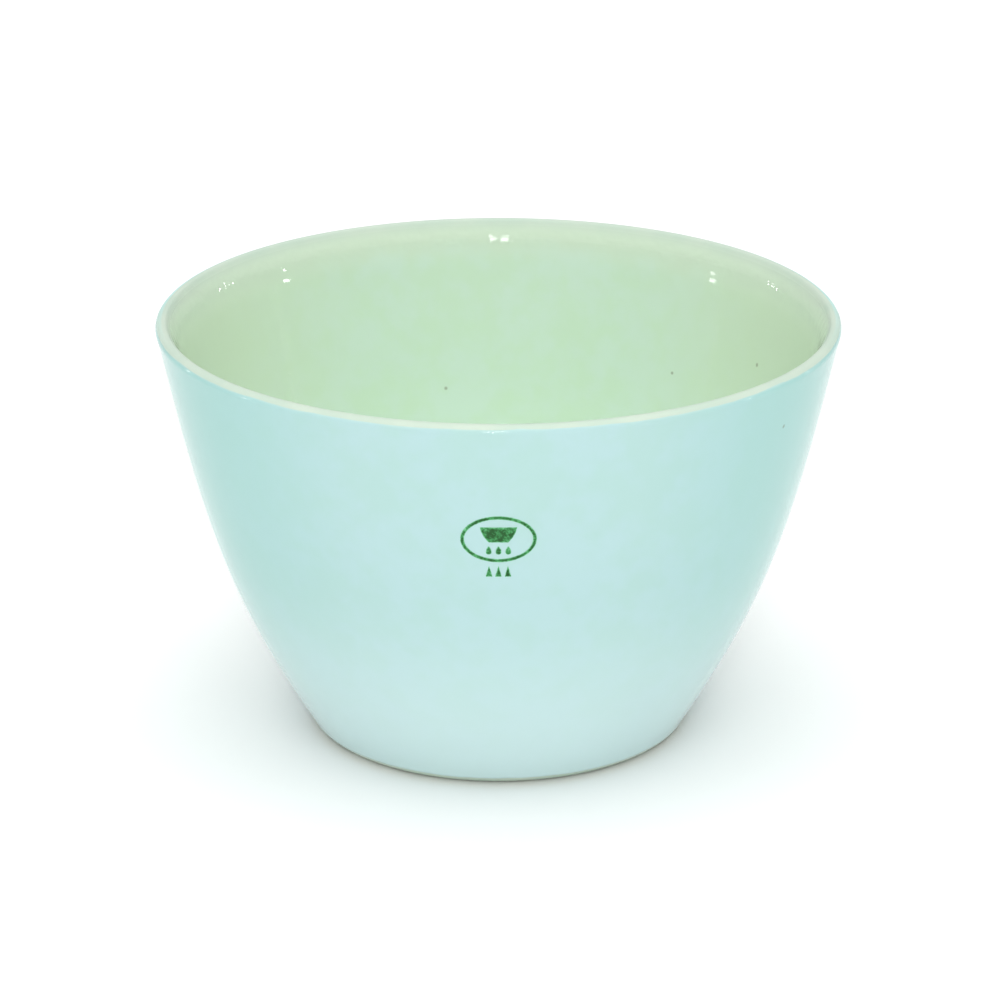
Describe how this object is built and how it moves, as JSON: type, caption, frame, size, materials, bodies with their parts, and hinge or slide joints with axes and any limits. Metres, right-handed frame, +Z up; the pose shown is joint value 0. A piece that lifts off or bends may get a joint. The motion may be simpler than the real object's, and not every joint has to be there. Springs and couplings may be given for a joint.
{
  "type": "laboratory crucible",
  "caption": "Low-form glazed porcelain laboratory crucible with a flat foot, curved flaring wall and bare rounded lip, for drying and ashing samples.",
  "frame": {"origin": "centre of the flat foot", "axes": "+Z up along the axis that the wall is turned about; the fired stamp faces -Y"},
  "size_m": [0.07, 0.07, 0.044],
  "materials": {
    "bare_porcelain": "unglazed hard-paste porcelain, matte and very slightly gritty",
    "outer_glaze": "smooth feldspathic glaze, pale aqua",
    "inner_glaze": "smooth feldspathic glaze, pale green",
    "stamp_ink": "fired chrome-green stamping ink, patchy"
  },
  "bodies": {
    "root": {"crucible_body": "bare_porcelain", "outer_glaze": "outer_glaze", "inner_glaze": "inner_glaze", "green_stamp": "stamp_ink"}
  },
  "joints": []
}
